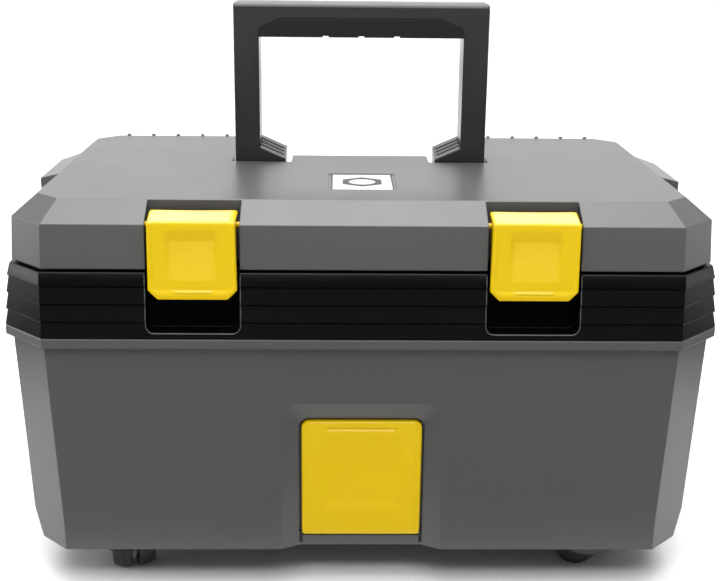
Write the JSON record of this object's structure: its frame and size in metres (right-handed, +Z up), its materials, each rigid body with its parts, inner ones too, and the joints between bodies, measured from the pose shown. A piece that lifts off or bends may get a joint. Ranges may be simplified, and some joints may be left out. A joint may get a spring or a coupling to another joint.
{
  "type": "toolbox",
  "caption": "Wheeled plastic toolbox with a folding bail handle, hinged lid with latches, lift-out tray, front small-parts bin and swivel casters.",
  "frame": {"origin": "on the floor under the middle of the box", "axes": "+X to the right seen from the front, +Y to the rear, +Z up"},
  "size_m": [0.581, 0.371, 0.4724],
  "materials": {
    "grey_plastic": "moulded polypropylene with a fine satin grain",
    "black_plastic": "moulded black polypropylene, satin",
    "black_grip": "black moulded insert, fine matt grain",
    "yellow_plastic": "glossy moulded yellow",
    "label_white": "smooth pale plate",
    "caster_grey": "moulded grey nylon",
    "wheel_black": "black wheel, lightly scuffed",
    "steel": "bright zinc-plated steel",
    "tray_black": "black moulded tray, fine grain"
  },
  "bodies": {
    "base": {"tub": "grey_plastic", "rim_frame": "black_plastic", "lid_hinge_pin_left": "steel", "lid_hinge_pin_right": "steel", "door_hinge_pin": "steel"},
    "lid": {"lid": "grey_plastic", "label_plate": "label_white", "handle_pin_left": "steel", "handle_pin_right": "steel"},
    "latch_left": {"latch_left": "yellow_plastic"},
    "latch_right": {"latch_right": "yellow_plastic"},
    "handle": {"handle_frame": "black_plastic", "handle_grip": "black_grip"},
    "front_door": {"front_door": "yellow_plastic"},
    "tray": {"tray": "tray_black", "tray_divider_left": "tray_black", "tray_divider_right": "tray_black"},
    "caster_front_left": {"caster_hood_front_left": "caster_grey", "caster_stem_front_left": "steel", "caster_axle_front_left": "steel"},
    "wheel_left_front_left": {"caster_wheel_left_front_left": "wheel_black"},
    "wheel_right_front_left": {"caster_wheel_right_front_left": "wheel_black"},
    "caster_front_right": {"caster_hood_front_right": "caster_grey", "caster_stem_front_right": "steel", "caster_axle_front_right": "steel"},
    "wheel_left_front_right": {"caster_wheel_left_front_right": "wheel_black"},
    "wheel_right_front_right": {"caster_wheel_right_front_right": "wheel_black"},
    "caster_rear_left": {"caster_hood_rear_left": "caster_grey", "caster_stem_rear_left": "steel", "caster_axle_rear_left": "steel"},
    "wheel_left_rear_left": {"caster_wheel_left_rear_left": "wheel_black"},
    "wheel_right_rear_left": {"caster_wheel_right_rear_left": "wheel_black"},
    "caster_rear_right": {"caster_hood_rear_right": "caster_grey", "caster_stem_rear_right": "steel", "caster_axle_rear_right": "steel"},
    "wheel_left_rear_right": {"caster_wheel_left_rear_right": "wheel_black"},
    "wheel_right_rear_right": {"caster_wheel_right_rear_right": "wheel_black"}
  },
  "joints": [
    {"name": "lid_hinge", "type": "hinge", "parent": "base", "child": "lid", "pos_m": [0, 0.181, 0.27865], "axis": [-1, 0, 0], "range_deg": [0, 105]},
    {"name": "handle_fold", "type": "hinge", "parent": "lid", "child": "handle", "pos_m": [0, 0.031, 0.313], "axis": [-1, 0, 0], "range_deg": [0, 90]},
    {"name": "latch_left_swing", "type": "hinge", "parent": "lid", "child": "latch_left", "pos_m": [-0.134, -0.168, 0.314], "axis": [-1, 0, 0], "range_deg": [0, 105]},
    {"name": "latch_right_swing", "type": "hinge", "parent": "lid", "child": "latch_right", "pos_m": [0.134, -0.168, 0.314], "axis": [-1, 0, 0], "range_deg": [0, 105]},
    {"name": "door_hinge", "type": "hinge", "parent": "base", "child": "front_door", "pos_m": [0, -0.1634, 0.048], "axis": [1, 0, 0], "range_deg": [0, 95]},
    {"name": "tray_lift", "type": "slide", "parent": "base", "child": "tray", "axis": [0, 0, 1], "range_m": [0, 0.02]},
    {"name": "swivel_front_left", "type": "hinge", "parent": "base", "child": "caster_front_left", "pos_m": [-0.2, -0.127, 0.034], "axis": [0, 0, 1], "continuous": true},
    {"name": "spin_left_front_left", "type": "hinge", "parent": "caster_front_left", "child": "wheel_left_front_left", "pos_m": [-0.19819, -0.13376, 0.02], "axis": [-0.9659, -0.2588, 0], "continuous": true},
    {"name": "spin_right_front_left", "type": "hinge", "parent": "caster_front_left", "child": "wheel_right_front_left", "pos_m": [-0.19819, -0.13376, 0.02], "axis": [-0.9659, -0.2588, 0], "continuous": true},
    {"name": "swivel_front_right", "type": "hinge", "parent": "base", "child": "caster_front_right", "pos_m": [0.2, -0.127, 0.034], "axis": [0, 0, 1], "continuous": true},
    {"name": "spin_left_front_right", "type": "hinge", "parent": "caster_front_right", "child": "wheel_left_front_right", "pos_m": [0.19382, -0.12371, 0.02], "axis": [0.4695, 0.8829, 0], "continuous": true},
    {"name": "spin_right_front_right", "type": "hinge", "parent": "caster_front_right", "child": "wheel_right_front_right", "pos_m": [0.19382, -0.12371, 0.02], "axis": [0.4695, 0.8829, 0], "continuous": true},
    {"name": "swivel_rear_left", "type": "hinge", "parent": "base", "child": "caster_rear_left", "pos_m": [-0.2, 0.127, 0.034], "axis": [0, 0, 1], "continuous": true},
    {"name": "spin_left_rear_left", "type": "hinge", "parent": "caster_rear_left", "child": "wheel_left_rear_left", "pos_m": [-0.19598, 0.13273, 0.02], "axis": [0.8192, -0.5736, 0], "continuous": true},
    {"name": "spin_right_rear_left", "type": "hinge", "parent": "caster_rear_left", "child": "wheel_right_rear_left", "pos_m": [-0.19598, 0.13273, 0.02], "axis": [0.8192, -0.5736, 0], "continuous": true},
    {"name": "swivel_rear_right", "type": "hinge", "parent": "base", "child": "caster_rear_right", "pos_m": [0.2, 0.127, 0.034], "axis": [0, 0, 1], "continuous": true},
    {"name": "spin_left_rear_right", "type": "hinge", "parent": "caster_rear_right", "child": "wheel_left_rear_right", "pos_m": [0.19704, 0.13334, 0.02], "axis": [0.9063, 0.4226, 0], "continuous": true},
    {"name": "spin_right_rear_right", "type": "hinge", "parent": "caster_rear_right", "child": "wheel_right_rear_right", "pos_m": [0.19704, 0.13334, 0.02], "axis": [0.9063, 0.4226, 0], "continuous": true}
  ]
}
